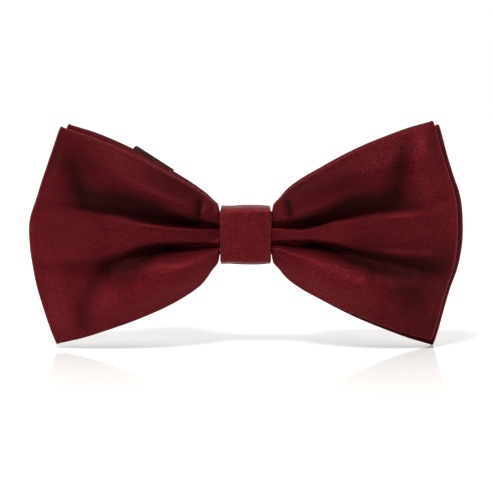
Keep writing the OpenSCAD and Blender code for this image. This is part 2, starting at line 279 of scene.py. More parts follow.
def ring_faces(rings, count, first=0, closed=False, flip=False):
    """Faces between rings of count points each, and round again if closed."""
    faces = []
    for i in range(rings if closed else rings - 1):
        a, b = first + i * count, first + ((i + 1) % rings) * count
        for k in range(count):
            n = (k + 1) % count
            face = (a + k, a + n, b + n, b + k)
            faces.append(face[::-1] if flip else face)
    return faces


def end_caps(count, total):
    """Faces that close the first and the last ring of count points, of total points."""
    return [tuple(range(count))[::-1], tuple(range(total - count, total))]


def directions(path):
    """Unit vectors along a path, one a point."""
    ahead = np.gradient(path, axis=0)
    return ahead / np.linalg.norm(ahead, axis=1)[:, None]


def face_out(piece):
    """Turns a piece's faces outwards after its doubles are merged."""
    work = bmesh.new()
    work.from_mesh(piece.data)
    bmesh.ops.remove_doubles(work, verts=work.verts, dist=1e-7)
    bmesh.ops.recalc_face_normals(work, faces=work.faces)
    work.to_mesh(piece.data)
    work.free()
    return piece


def tube(name, path, radius, sides):
    """A round thread along a path."""
    path = np.asarray(path, float)
    ahead = np.roll(path, -1, 0) - np.roll(path, 1, 0)
    ahead[0], ahead[-1] = path[1] - path[0], path[-1] - path[-2]
    ahead /= np.linalg.norm(ahead, axis=1)[:, None]
    across = np.cross(ahead[0], (0.31, 0.17, 0.94))
    turn = 2 * np.pi * np.arange(sides) / sides
    c, s = np.cos(turn)[:, None], np.sin(turn)[:, None]
    rings = []
    for point, way in zip(path, ahead):
        across -= way * (across @ way)
        across /= np.linalg.norm(across)
        up = np.cross(way, across)
        rings.append(point + radius * (c * across + s * up))
    points = np.concatenate(rings)
    faces = ring_faces(len(path), sides) + end_caps(sides, len(points))
    return face_out(make_piece(name, points, faces))


def join(name, parts):
    """Joins mesh objects into one piece called name."""
    bpy.ops.object.select_all(action="DESELECT")
    for part in parts:
        part.select_set(True)
    bpy.context.view_layer.objects.active = parts[0]
    if len(parts) > 1:
        bpy.ops.object.join()
    parts[0].name = name
    parts[0].data.name = name
    return parts[0]


# ---------------------------------------------------------------- materials


def finish_group(name, inputs):
    """A new node group that gives a colour, a roughness and a height, with its end nodes."""
    tree = bpy.data.node_groups.new(name, "ShaderNodeTree")
    for label, kind, value in inputs:
        entry = tree.interface.new_socket(label, in_out="INPUT", socket_type="NodeSocket" + kind)
        if value is not None:
            entry.default_value = value
    for label, kind in (("Colour", "Color"), ("Roughness", "Float"), ("Height", "Float")):
        tree.interface.new_socket(label, in_out="OUTPUT", socket_type="NodeSocket" + kind)
    return tree, tree.nodes.new("NodeGroupInput"), tree.nodes.new("NodeGroupOutput")


def maths(tree, operation, a, b=None, c=None, clamp=False):
    node = tree.nodes.new("ShaderNodeMath")
    node.operation = operation
    node.use_clamp = clamp
    for place, value in enumerate((a, b, c)):
        if value is None:
            continue
        if isinstance(value, bpy.types.NodeSocket):
            tree.links.new(value, node.inputs[place])
        else:
            node.inputs[place].default_value = value
    return node.outputs[0]


def plus_parts(tree, total, *parts):
    """A socket plus each (socket, weight) part."""
    for value, weight in parts:
        total = maths(tree, "ADD", total, maths(tree, "MULTIPLY", value, weight))
    return total


def noise(tree, vector, scale, detail=2.0, roughness=0.5):
    node = tree.nodes.new("ShaderNodeTexNoise")
    node.inputs["Scale"].default_value = scale
    node.inputs["Detail"].default_value = detail
    node.inputs["Roughness"].default_value = roughness
    tree.links.new(vector, node.inputs["Vector"])
    return node.outputs["Fac"]


def scaled(tree, vector, factors):
    node = tree.nodes.new("ShaderNodeVectorMath")
    node.operation = "MULTIPLY"
    tree.links.new(vector, node.inputs[0])
    node.inputs[1].default_value = factors
    return node.outputs[0]


def mix_colour(tree, factor, a, b):
    node = tree.nodes.new("ShaderNodeMix")
    node.data_type = "RGBA"
    tree.links.new(factor, node.inputs["Factor"])
    for label, value in (("A", a), ("B", b)):
        entry = next(s for s in node.inputs if s.name == label and s.type == "RGBA")
        if isinstance(value, bpy.types.NodeSocket):
            tree.links.new(value, entry)
        else:
            entry.default_value = (*value, 1)
    return next(s for s in node.outputs if s.type == "RGBA")


def twill_group():
    """Satin twill: slanting ribs, floating threads that catch the light, and slubs."""
    name = "Twill weave"
    if name in bpy.data.node_groups:
        return bpy.data.node_groups[name]
    tree, inputs, outputs = finish_group(
        name,
        [("Cloth", "Vector", None), ("Across ribs", "Vector", (0.8, -0.6, 0)),
         ("Along ribs", "Vector", (0.6, 0.8, 0)),
         ("Dark", "Color", None), ("Light", "Color", None),
         ("In the shade", "Color", None), ("Painted shade", "Float", 0.0),
         ("Rib pitch", "Float", RIB_PITCH), ("Rib strength", "Float", 0.8)])
    cloth = inputs.outputs["Cloth"]
    ways = []
    for label in ("Along ribs", "Across ribs"):
        dot = tree.nodes.new("ShaderNodeVectorMath")
        dot.operation = "DOT_PRODUCT"
        tree.links.new(cloth, dot.inputs[0])
        tree.links.new(inputs.outputs[label], dot.inputs[1])
        ways.append(dot.outputs["Value"])
    turned = tree.nodes.new("ShaderNodeCombineXYZ")
    for entry, value in zip(turned.inputs, ways):
        tree.links.new(value, entry)
    drift = maths(tree, "MULTIPLY", noise(tree, cloth, 260), 0.0004)
    place = maths(tree, "ADD", ways[1], drift)
    turns = maths(tree, "MULTIPLY", maths(tree, "DIVIDE", place, inputs.outputs["Rib pitch"]),
                  2 * math.pi)
    rib = maths(tree, "MULTIPLY_ADD", maths(tree, "SINE", turns), 0.5, 0.5)
    rib = maths(tree, "POWER", rib, 1.8)
    floats = noise(tree, scaled(tree, turned.outputs[0], (700, 2600, 1)), 1, 1)
    slub = noise(tree, scaled(tree, cloth, (90, 1500, 1)), 1, 2)
    cloud = noise(tree, cloth, 70, 3, 0.6)
    shade = maths(tree, "MULTIPLY", rib, inputs.outputs["Rib strength"])
    shade = plus_parts(tree, shade, (floats, 0.9), (slub, 0.3), (cloud, 0.5))
    shade = maths(tree, "SUBTRACT", shade, 0.65, clamp=True)
    colour = mix_colour(tree, shade, inputs.outputs["Dark"], inputs.outputs["Light"])
    colour = mix_colour(tree, inputs.outputs["Painted shade"], colour,
                        inputs.outputs["In the shade"])
    tree.links.new(colour, outputs.inputs["Colour"])
    rough = maths(tree, "MULTIPLY_ADD", maths(tree, "ADD", floats, cloud), 0.1, 0.34)
    tree.links.new(rough, outputs.inputs["Roughness"])
    tree.links.new(plus_parts(tree, rib, (floats, 0.6), (slub, 0.5)), outputs.inputs["Height"])
    return tree


def plain_weave_group():
    """Plain weave of canvas and sewing thread: a grid of crossing yarns with stains."""
    name = "Plain weave"
    if name in bpy.data.node_groups:
        return bpy.data.node_groups[name]
    tree, inputs, outputs = finish_group(
        name,
        [("Place", "Vector", None), ("Dark", "Color", None),
         ("Light", "Color", None), ("Yarns", "Float", CANVAS_YARNS)])
    split = tree.nodes.new("ShaderNodeSeparateXYZ")
    tree.links.new(inputs.outputs["Place"], split.inputs[0])
    waves = []
    for axis in ("X", "Y"):
        turns = maths(tree, "MULTIPLY", split.outputs[axis], inputs.outputs["Yarns"])
        waves.append(maths(tree, "ABSOLUTE", maths(tree, "SINE", turns)))
    yarn = maths(tree, "MULTIPLY", waves[0], waves[1])
    fleck = noise(tree, inputs.outputs["Place"], 700, 3, 0.6)
    shade = maths(tree, "ADD", maths(tree, "MULTIPLY", yarn, 0.6),
                  maths(tree, "MULTIPLY", fleck, 0.5), clamp=True)
    tree.links.new(mix_colour(tree, shade, inputs.outputs["Dark"], inputs.outputs["Light"]),
                   outputs.inputs["Colour"])
    tree.links.new(maths(tree, "SUBTRACT", 0.98, maths(tree, "MULTIPLY", shade, 0.2)),
                   outputs.inputs["Roughness"])
    tree.links.new(yarn, outputs.inputs["Height"])
    return tree


def brushed_group():
    """Plated metal: fine brushing, worn patches and small scratches."""
    name = "Brushed plating"
    if name in bpy.data.node_groups:
        return bpy.data.node_groups[name]
    tree, inputs, outputs = finish_group(
        name,
        [("Place", "Vector", None), ("Plate", "Color", None),
         ("Worn", "Color", None)])
    place = inputs.outputs["Place"]
    brush = noise(tree, scaled(tree, place, (350, 9000, 9000)), 1, 2)
    cloud = noise(tree, place, 420, 4, 0.65)
    scratch = noise(tree, scaled(tree, place, (3000, 500, 6000)), 1, 1)
    worn = maths(tree, "MULTIPLY", maths(tree, "SUBTRACT", cloud, 0.52), 4, clamp=True)
    tree.links.new(mix_colour(tree, worn, inputs.outputs["Plate"], inputs.outputs["Worn"]),
                   outputs.inputs["Colour"])
    rough = plus_parts(tree, maths(tree, "MULTIPLY", brush, 0.18), (worn, 0.14))
    tree.links.new(maths(tree, "ADD", rough, 0.16), outputs.inputs["Roughness"])
    tree.links.new(plus_parts(tree, brush, (scratch, 0.4)), outputs.inputs["Height"])
    return tree


def start_material(name):
    material = bpy.data.materials.new(name)
    material.use_nodes = True
    tree = material.node_tree
    shader = tree.nodes["Principled BSDF"]
    return material, tree, shader


def place_group(tree, group, **values):
    node = tree.nodes.new("ShaderNodeGroup")
    node.node_tree = group
    for label, value in values.items():
        entry = node.inputs[label.replace("_", " ")]
        entry.default_value = (*value, 1) if entry.type == "RGBA" else value
    return node


def wire_finish(tree, shader, finish, depth):
    """Joins a finish group's colour, roughness and height to the shader."""
    tree.links.new(finish.outputs["Colour"], shader.inputs["Base Color"])
    tree.links.new(finish.outputs["Roughness"], shader.inputs["Roughness"])
    bump = tree.nodes.new("ShaderNodeBump")
    bump.inputs["Strength"].default_value = 0.5
    bump.inputs["Distance"].default_value = depth
    tree.links.new(finish.outputs["Height"], bump.inputs["Height"])
    tree.links.new(bump.outputs["Normal"], shader.inputs["Normal"])


def satin_material(name, slope_deg, tone_and_shade, sheen=0.05, sheen_tint=(0.9, 0.2, 0.22)):
    """Burgundy satin whose twill ribs run at slope_deg across the cloth's own length."""
    if name in bpy.data.materials:
        return bpy.data.materials[name]
    finish = finish_settings()
    material, tree, shader = start_material(name)
    cloth = tree.nodes.new("ShaderNodeUVMap")
    cloth.uv_map = "cloth"
    slope = math.radians(slope_deg)
    # The tone scales the satin's colours; the rear bow's lower tone is painted shade.
    weave = place_group(tree, twill_group(),
                        Across_ribs=(math.sin(slope), -math.cos(slope), 0),
                        Along_ribs=(math.cos(slope), math.sin(slope), 0),
                        Dark=[tone_and_shade * c for c in finish.satin],
                        Light=[tone_and_shade * c for c in finish.satin_light],
                        In_the_shade=[0.35 * c for c in finish.satin])
    tree.links.new(cloth.outputs["UV"], weave.inputs["Cloth"])
    shade = tree.nodes.new("ShaderNodeAttribute")
    shade.attribute_name = "painted_shade"
    tree.links.new(shade.outputs["Fac"], weave.inputs["Painted shade"])
    wire_finish(tree, shader, weave, 0.00024)
    shader.inputs["Metallic"].default_value = 0.55
    shader.inputs["Specular IOR Level"].default_value = 0.3
    shader.inputs["Specular Tint"].default_value = (0.9, 0.16, 0.18, 1)
    shader.inputs["Anisotropic"].default_value = 0.3
    shader.inputs["Sheen Weight"].default_value = sheen
    shader.inputs["Sheen Roughness"].default_value = 0.3
    shader.inputs["Sheen Tint"].default_value = (*sheen_tint, 1)
    return material


def woven_material(name, colour, yarns, use_uv=False):
    """Canvas or thread in a plain weave."""
    if name in bpy.data.materials:
        return bpy.data.materials[name]
    material, tree, shader = start_material(name)
    weave = place_group(tree, plain_weave_group(), Yarns=yarns,
                        Dark=[0.55 * c for c in colour], Light=list(colour))
    if use_uv:
        cloth = tree.nodes.new("ShaderNodeUVMap")
        cloth.uv_map = "cloth"
        tree.links.new(cloth.outputs["UV"], weave.inputs["Place"])
    else:
        place = tree.nodes.new("ShaderNodeTexCoord")
        tree.links.new(place.outputs["Object"], weave.inputs["Place"])
    wire_finish(tree, shader, weave, 0.00006)
    shader.inputs["Specular IOR Level"].default_value = 0.25
    shader.inputs["Sheen Weight"].default_value = 0.2
    return material


def nickel_material():
    name = "nickel_plate"
    if name in bpy.data.materials:
        return bpy.data.materials[name]
    finish = finish_settings()
    material, tree, shader = start_material(name)
    place = tree.nodes.new("ShaderNodeTexCoord")
    plating = place_group(tree, brushed_group(), Plate=list(finish.nickel),
                          Worn=[0.72 * c for c in finish.nickel])
    tree.links.new(place.outputs["Object"], plating.inputs["Place"])
    wire_finish(tree, shader, plating, 0.00002)
    shader.inputs["Metallic"].default_value = 1.0
    return material


def dress(piece, material, slot, body, *nodes):
    """Gives a piece its finish, its body and the CAD nodes it stands for."""
    piece.data.materials.clear()
    piece.data.materials.append(material)
    if body:
        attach(piece, body)
    if nodes:
        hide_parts(*nodes)
    return piece


# ---------------------------------------------------------------- bows

FRONT_STEPS, BACK_STEPS, FOLD_STEPS, ROWS, EDGE_STEPS = 78, 34, 9, 72, 3
RIM_POWER = 0.56
# The cut area of the bows' sheets, as a share of the plain rectangle, is assumed and nothing
# seen supports it. The modelled cloth is only 0.64 to 0.68 of the rectangle, because it narrows
# to 10 to 13 mm at the knot, where real cloth is gathered whole
FLAT_U = 0.03
WAIST_ARC_R = 68.0

# Middle lines of the two valleys of each wing, as (distance from the knot's middle, height)
VALLEYS = {
    LEFT: [[(7, 2.0), (16, 3.3), (25, 4.8), (43, 7.9), (59, 10.1)],
           [(7, -3.1), (16, -3.1), (25, -3.7), (34.5, -6.4), (59, -8.4)]],
    RIGHT: [[(7, 2.2), (16, 2.9), (27.7, 6.0), (36.5, 7.4), (50.9, 8.2), (59, 10.2)],
            [(7, -2.4), (20.7, -2.9), (32.3, -5.7), (45, -8.3), (59, -10.4)]],
}
PLEAT_DEPTH = [(6, 1.0), (8.5, 2.2), (14, 3.7), (25, 3.6), (34, 2.5), (44, 1.3), (54, 0.45),
               (60, 0.1)]
PLEAT_HALF_W = [(6, 0.8), (9, 1.1), (14, 1.8), (25, 3.4), (40, 5.2), (58, 7.0)]
LOBE_CROWN = [(6, 0.3), (9, 1.2), (14, 2.6), (24, 3.6), (38, 3.0), (50, 1.5), (60, 0.0)]

# Soft folds in the front panels: path points, half width, and depth, which is
# negative where the cloth stands forward
SOFT_FOLDS = {
    LEFT: [([(30.5, -7.0), (31.5, -11.0)], 2.6, 0.7),
           ([(37.5, -9.0), (43.0, -17.4), (46.0, -25.0)], 3.2, 0.65),
           ([(47.5, 19.5), (45.5, 14.0), (44.0, 8.5)], 2.6, 0.55),
           ([(58.5, 10.3), (50.0, 9.4), (42.0, 9.0)], 1.6, 0.4),
           ([(59.0, -8.5), (52.0, -8.0), (44.0, -7.5)], 1.6, 0.4),
           ([(50.0, -12.0), (50.5, -22.0)], 3.0, -0.45),
           ([(20.0, 9.0), (28.0, 15.0)], 3.2, -0.4),
           ([(13.2, 5.0), (12.0, 11.0)], 1.2, 0.55)],
    RIGHT: [([(39.0, 10.0), (42.6, 17.8), (44.0, 25.5)], 2.8, 0.6),
            ([(36.5, -6.5), (36.2, -14.0), (38.5, -21.0)], 2.2, 0.75),
            ([(31.0, -8.5), (30.0, -19.0)], 3.4, -0.55),
            ([(48.5, 10.0), (47.5, 22.0)], 3.0, -0.4),
            ([(59.0, 11.2), (51.0, 9.6), (43.0, 9.4)], 1.6, 0.35),
            ([(58.5, -10.4), (51.0, -10.0), (44.0, -9.0)], 1.8, 0.4),
            ([(52.0, -12.0), (47.0, -24.0)], 3.0, 0.3),
            ([(12.4, 5.0), (11.4, 11.0)], 1.2, 0.55)],
}
# How far each wing's outer edge is drawn in, as (height, distance)
EDGE_DRAW = {
    LEFT: [(-31, 0.9), (-22, 1.1), (-14, 0.7), (-8.6, 0.5), (-3, 0.2), (5, 0.3), (8.5, 1.1),
           (10.2, 1.5), (15.5, 2.4), (20, 3.2), (25, 3.9), (31, 4.2)],
    RIGHT: [(-31, 3.0), (-20, 3.3), (-14, 2.6), (-10.4, 1.9), (-5, 1.5), (3, 1.3), (11.4, 1.6),
            (17, 2.8), (24, 3.5), (31, 2.9)],
}
# How much higher the top and bottom edges of each bow's wings sit than the plain outline
EDGE_LIFT = {FRONT_LAYER: {LEFT: (-0.5, 0.0), RIGHT: (1.1, 1.1)},
             REAR_LAYER: {LEFT: (-0.45, 0.4), RIGHT: (0.0, -0.8)}}
# How far the long edges fall short of the plain outline, as (share of the way out, distance)
RIM_TRIM = [(0, 0.0), (0.2, 0.2), (0.35, 0.3), (0.55, 0.5), (0.75, 0.8), (0.86, 0.7), (0.95, 0.4),
            (1.0, 0.0)]

# Shading painted on the front bow's outer cloth. It is placed one by one and isn't measured from
# the mesh. First bands along the valleys, as (distance from the knot's middle, share of dark),
# then patches, as path points, half width and amount, which is negative where they are lighter
PLEAT_SHADE_UP = [(7, 0.95), (16, 1.1), (28, 1.1), (38, 0.9), (48, 0.55), (56, 0.1)]
PLEAT_SHADE_LOW = [(7, 0.95), (14, 1.0), (24, 1.05), (31, 0.9), (38, 0.65), (48, 0.5), (56, 0.3)]
# Which way each valley's band faces, its spread away from and towards the middle, and its strength
SHADE_BANDS = ((1, 1.35, 0.25, PLEAT_SHADE_UP), (-1, 0.8, 0.5, PLEAT_SHADE_LOW))
# A painted shade laid over all of the front cloth. Patches with a negative amount paint light on
# it: lighter places on the lobes and along the outer edges.
BASE_SHADE = 0.2
FOLD_SHADES = {
    LEFT: [([(28.0, -5.5), (33.0, -10.0)], 3.0, 0.6),
           ([(38.5, -9.0), (43.5, -16.4), (45.0, -24.0)], 2.8, 0.45),
           ([(47.5, 19.0), (43.0, 10.0), (34.0, 10.0), (26.0, 8.0)], 3.2, 0.35),
           ([(13.1, 5.6), (12.5, 9.3)], 0.9, 0.6),
           ([(16.0, 13.0), (36.0, 18.0), (50.0, 21.0)], 9.0, 0.28),
           ([(52.5, -10.0), (51.0, -22.0)], 3.4, -0.35),
           ([(38.0, -17.0), (26.0, -15.0), (14.0, -10.0)], 5.5, -0.35),
           ([(58.6, -12.0), (60.0, 0.0), (56.0, 18.0)], 1.6, -0.25)],
    RIGHT: [([(28.0, 8.5), (39.3, 10.0), (43.8, 24.0)], 2.8, 0.35),
            ([(32.0, -4.0), (45.0, -7.0), (54.0, -8.0)], 5.0, 0.45),
            ([(37.0, -10.0), (46.0, -17.0)], 4.0, 0.3),
            ([(12.3, 5.6), (11.8, 9.3)], 0.9, 0.6),
            ([(16.0, 13.0), (30.0, 17.0), (42.0, 20.0)], 8.0, 0.28),
            ([(49.0, 11.0), (48.0, 22.0)], 3.4, -0.3),
            ([(32.0, -17.0), (25.0, -14.0), (14.0, -9.0)], 5.0, -0.35),
            ([(46.0, -12.0), (50.0, -24.0)], 7.0, 0.2),
            ([(57.6, -12.0), (59.0, 0.0), (56.0, 18.0)], 1.6, -0.25)],
}


def near_path(x, z, path):
    """Distance of each point from a soft fold's path, and how far along it the nearest place is."""
    path = np.array(path, float)
    share = np.linspace(0, 1, 25)
    knots = np.linspace(0, 1, len(path))
    px = through(share, list(zip(knots, path[:, 0])))
    pz = through(share, list(zip(knots, path[:, 1])))
    apart = np.hypot(x[..., None] - px, z[..., None] - pz)
    nearest = apart.argmin(-1)
    return apart.min(-1), share[nearest]


class Bow:
    """One satin tube, folded into two loops and pleated at its waist."""

    def __init__(self, height, layer, tip_y, puffs, relief, fold_r, turn):
        self.height, self.layer, self.tip_y = height, layer, tip_y
        self.puffs, self.relief, self.fold_r, self.turn = puffs, relief, fold_r, turn
        self.tip = math.asin(height / 2 / EDGE_R)
        self.edge_x = HALF_W - EDGE_R

    def layer_y(self, k):
        return BUNDLE_BACK - PANEL_PITCH * (k + 0.5)

    def rim(self, u, arc_r):
        tip = arc_r * math.sin(self.tip)
        flare = 0.6 * smooth(u, 0, 0.006) * (1 - smooth(u, 0.006, 0.05))
        return WAIST_H / 2 + (tip - WAIST_H / 2) * np.power(u, RIM_POWER) + flare

    def arc_r(self, half_t):
        return EDGE_R - self.fold_r - half_t

    def drawn(self, side, x, z):
        """x after the outer edge is drawn in, and z after the left wing's droop by the knot."""
        draw = through(z, EDGE_DRAW[side])
        x = x - draw * np.clip(x / HALF_W, 0, 1.1) ** 6
        if side == LEFT:
            z = z - 1.1 * np.exp(-((x - 16) / 16) ** 2) * smooth(x, 6.5, 13)
        top, bottom = EDGE_LIFT[self.layer][side]
        z = z + (top * smooth(z, 2, 20) + bottom * smooth(-z, 2, 20)) * smooth(x, 8, 34)
        z = z * (1 - 0.05 * np.exp(-((x - 8.6) / 1.8) ** 2))
        return x, z

    def front_relief(self, side, x, z, v):
        """How far the cloth stands forward of the plain panel."""
        deep = bow_settings().pleat_depth * through(x, PLEAT_DEPTH)
        half_w = through(x, PLEAT_HALF_W)
        keep = np.ones_like(x)
        for sign, line in zip((1, -1), VALLEYS[side]):
            off = (z - through(x, line)) * sign
            lobe = np.exp(-np.abs(np.maximum(off, 0) / half_w) ** 1.7)
            ridge = np.exp(-np.abs(np.minimum(off, 0) / (0.3 * half_w + 0.25)) ** 2)
            keep *= 1 - np.where(off > 0, lobe, ridge)
        forward = deep * (keep - 0.55)
        crown = through(x, LOBE_CROWN)
        forward += crown * np.sin(np.pi * np.clip((np.abs(v) - 0.14) / 0.86, 0, 1) ** 0.85) * 0.75
        forward -= 0.28 * crown * smooth(np.abs(v), 0.7, 1.0)
        return forward

    def soft_folds(self, side, x, z):
        forward = np.zeros_like(x)
        for path, half_w, depth in SOFT_FOLDS[side]:
            apart, share = near_path(x, z, path)
            fade = 0.55 + 0.45 * np.sin(np.pi * np.clip(share, 0, 1))
            forward -= depth * fade * np.exp(-(apart / half_w) ** 2)
        swell = np.sin(0.31 * x + 0.9 * side) * np.sin(0.23 * z + 0.4)
        forward += 0.12 * swell * smooth(x, 12, 24)
        forward += 0.05 * np.sin(0.83 * x - 0.35 * z + side) * smooth(x, 16, 30)
        return forward * (1 - smooth(x, 56, 60))

    def painted_shade(self, points):
        """The painted share of dark at each point of the outer layer, from 0 to 0.95."""
        shade = np.zeros(len(points))
        for side in (LEFT, RIGHT):
            x, z = side * points[:, 0], points[:, 2]
            here = (x > WAIST_X) & (points[:, 1] < self.tip_y)
            x, z = x[here], z[here]
            share = np.full_like(x, BASE_SHADE)
            half_w = through(x, PLEAT_HALF_W)
            for (sign, outer, inner, band), line in zip(SHADE_BANDS, VALLEYS[side]):
                off = (z - through(x, line)) * sign
                lobe = np.exp(-(np.maximum(off, 0) / (outer * half_w)) ** 2)
                ridge = np.exp(-(np.minimum(off, 0) / (inner * half_w + 0.3)) ** 2)
                strength = np.interp(x, *zip(*band))
                share = np.maximum(share, strength * np.where(off > 0, lobe, ridge))
            for path, breadth, amount in FOLD_SHADES[side]:
                apart = near_path(x, z, path)[0]
                share += amount * np.exp(-(apart / breadth) ** 2)
            shade[here] = np.clip(share, 0, 0.95)
        return shade

    def panel(self, is_front, u, side, v, off, half_t):
        """Points of a panel, where u, v and off are arrays of one shape."""
        arc_r = self.arc_r(half_t)
        a = v * self.tip
        x = WAIST_X + (self.edge_x + arc_r * np.cos(a) - WAIST_X) * u
        z = v * self.rim(u, arc_r) * (1 - u ** 4) + arc_r * np.sin(a) * u ** 4
        z = z - v * through(u, RIM_TRIM)
        s = np.maximum(0, (u - FLAT_U) / (1 - FLAT_U))
        knot_y = self.layer_y(self.layer if is_front else self.layer - 1)
        tip_y = self.tip_y + (-self.fold_r if is_front else self.fold_r)
        puff = self.puffs[0 if is_front else 1]
        y = knot_y + (tip_y - knot_y) * s + puff * np.sin(np.pi * s)
        x, z = self.drawn(side, x, z)
        share = self.relief[0 if is_front else 1]
        fade = 1 - smooth(u, 0.93, 1.0)
        if share > 0:
            y -= share * fade * self.front_relief(side, x, z, v)
            if share == 1:
                y -= fade * self.soft_folds(side, x, z)
        elif share < 0:
            y += share * fade * smooth(u, 0.1, 0.4) * (1.9 - self.front_relief(side, x, z, v)) * 0.5
        return np.stack([side * x, y + (-off if is_front else off), z], -1)

    def fold(self, turn, side, v, off, half_t):
        out = self.arc_r(half_t) + (self.fold_r + off) * math.cos(turn)
        a = v * self.tip
        x, z = self.drawn(side, self.edge_x + out * np.cos(a), out * np.sin(a))
        y = self.tip_y + (self.fold_r + off) * math.sin(turn)
        return np.stack([side * x, y, z], -1)

    def stations(self):
        """(kind, place, side) all the way round the loop, from the rear of the waist."""
        fronts = [(i / FRONT_STEPS) ** 1.35 for i in range(FRONT_STEPS + 1)]
        backs = [(i / BACK_STEPS) ** 1.3 for i in range(BACK_STEPS + 1)]
        turns = [math.pi / 2 - math.pi * i / FOLD_STEPS for i in range(1, FOLD_STEPS)]
        return ([("rear", u, RIGHT) for u in backs] + [("fold", t, RIGHT) for t in turns]
                + [("front", u, RIGHT) for u in fronts[::-1]]
                + [("front", u, LEFT) for u in fronts] + [("fold", t, LEFT) for t in turns[::-1]]
                + [("rear", u, LEFT) for u in backs[::-1]])

    def ring(self, station, half_t, hem, fold_half_t):
        """One section of the tube at a station, wound the same way at every one."""
        kind, place, side = station
        half_h = self.height / 2
        if kind != "fold":
            half_h = float(self.rim(np.array(place), WAIST_ARC_R))
        reach = 1 - 2 * hem / self.height - half_t / half_h
        rows = np.linspace(-1, 1, ROWS + 1) * reach
        ends = np.pi * np.arange(1, EDGE_STEPS + 1) / (EDGE_STEPS + 1)
        bulge = half_t / half_h
        hemmed = reach + bulge * np.sin(ends)
        v = np.concatenate([rows, hemmed, rows[::-1], -hemmed])
        level = np.ones(ROWS + 1)
        off = half_t * np.concatenate([level, np.cos(ends), -level, -np.cos(ends)])
        if kind == "fold":
            return self.fold(place, side, v, off, fold_half_t)
        return self.panel(kind == "front", np.full_like(v, place), side, v, off, fold_half_t)

    def build(self, name, shells, fold_half_t):
        """A mesh of one or more nested tubes. shells are (half thickness, hem, faces inwards)."""
        stations = self.stations()
        points, uvs, faces = [], [], []
        for half_t, hem, inwards in shells:
            rings = np.array([self.ring(s, half_t, hem, fold_half_t) for s in stations])
            count = rings.shape[1]
            steps = np.linalg.norm(np.diff(rings, axis=1, append=rings[:, :1]), axis=2)
            along = np.linalg.norm(np.diff(rings, axis=0, prepend=rings[-1:]), axis=2)
            half = ROWS // 2
            run = np.cumsum(along[:, half])
            self.length = run[-1]
            front_mid = run[int(0.5 * len(run))]
            across = np.cumsum(np.concatenate([np.zeros((len(rings), 1)), steps[:, :-1]], 1), 1)
            across -= across[:, half:half + 1]
            far = across[:, ROWS + 1 + EDGE_STEPS + half:ROWS + 2 + EDGE_STEPS + half]
            back = np.arange(count) > ROWS + EDGE_STEPS / 2
            across = np.where(back, -(across - far), across)
            first = sum(len(p) for p in points)
            faces += ring_faces(len(rings), count, first, closed=True, flip=inwards)
            points.append(rings.reshape(-1, 3))
            along_cloth = np.repeat((run - front_mid)[:, None], count, 1)
            uvs.append(np.stack([along_cloth, across], -1).reshape(-1, 2) * MM)
        shade = np.zeros(sum(len(p) for p in points))
        if self.layer == FRONT_LAYER:
            shade[:len(points[0])] = self.painted_shade(points[0])
        points = np.concatenate(points)
        if self.turn:
            c, s = math.cos(self.turn), math.sin(self.turn)
            x, z = points[:, 0].copy(), points[:, 2].copy()
            points[:, 0], points[:, 2] = c * x + s * z, c * z - s * x
            outer = smooth(np.abs(x), 12, 50)
            points[:, 0] += REAR_SHIFT * outer * (1 - 0.45 * smooth(-points[:, 2], 2, 18) * (x > 0))
        points[:, 2] += BOW_RISE
        return make_piece(name, points, faces, np.concatenate(uvs), 75, shade)


def check_outward(piece):
    """Turns a closed mesh round if its volume comes out negative."""
    work = bmesh.new()
    work.from_mesh(piece.data)
    if work.calc_volume(signed=True) < 0:
        bmesh.ops.reverse_faces(work, faces=work.faces)
        work.to_mesh(piece.data)
    work.free()


class BOWTIE_OT_bows(bpy.types.Operator):
    """Models the front and the rear bow, each a satin tube over its interlining"""

    bl_idname = "bowtie.bows"
    bl_label = "Bows"

    def execute(self, context):
        sizes, finish = bow_settings(), finish_settings()
        half_t = sizes.panel_t / MM / 2
        satin_t = sizes.satin_t / MM
        canvas_half = sizes.canvas_t / MM / 2
        fold_r = sizes.fold_r / MM
        bows = {
            "front_bow": Bow(FRONT_H, FRONT_LAYER, FRONT_TIP_Y, (-4.5, 0), (1.0, 0.6), fold_r, 0),
            "rear_bow": Bow(REAR_H, REAR_LAYER, REAR_TIP_Y, (0, 4.6), (0.3, -1.0), fold_r,
                            REAR_TURN),
        }
        for name, bow in bows.items():
            satin = bow.build(name, [(half_t, 0, False), (half_t - satin_t, satin_t, True)], half_t)
            check_outward(satin)
            # The rear bow gets a darker copy of the same satin: painted shade for the bow lying
            # behind the front one.
            tone_and_shade = 1.0 if name == "front_bow" else 0.7
            dress(satin, satin_material(name + "_satin_twill", BOW_TWILL, tone_and_shade),
                  name.split("_")[0] + "_satin", "bow", name + "_satin")
            canvas = bow.build(name + "_canvas", [(canvas_half, CANVAS_HEM, False)], half_t)
            check_outward(canvas)
            dress(canvas, woven_material("canvas", finish.canvas, CANVAS_YARNS, use_uv=True),
                  "interlining", "bow", name + "_interlining")
        return {"FINISHED"}


# ---------------------------------------------------------------- knot


def knot_path(inset):
    """Points (y, z) round the knot's section, inset from its outside."""
    steps = 10
    half_y, half_z = KNOT_D / 2 - inset, KNOT_H / 2 - inset
    r = KNOT_R - inset
    mid_y = (KNOT_LOW[1] + KNOT_HIGH[1]) / 2
    points = []
    for cy, cz, start in ((-1, -1, 270), (-1, 1, 180), (1, 1, 90), (1, -1, 0)):
        for i in range(steps + 1):
            a = math.radians(start - 90 * i / steps)
            points.append((cy * (half_y - r) + r * math.cos(a),
                           cz * (half_z - r) + r * math.sin(a)))
    points = np.array(points)
    points[:, 0] += mid_y
    return points


def resampled(path, count):
    """A closed path again, with count evenly spaced points, its start kept and repeated last."""
    path = np.vstack([path, path[:1]])
    reach = np.concatenate([[0], np.cumsum(np.linalg.norm(np.diff(path, axis=0), axis=1))])
    at = np.linspace(0, reach[-1], count)
    return np.stack([np.interp(at, reach, path[:, k]) for k in range(2)], 1), at


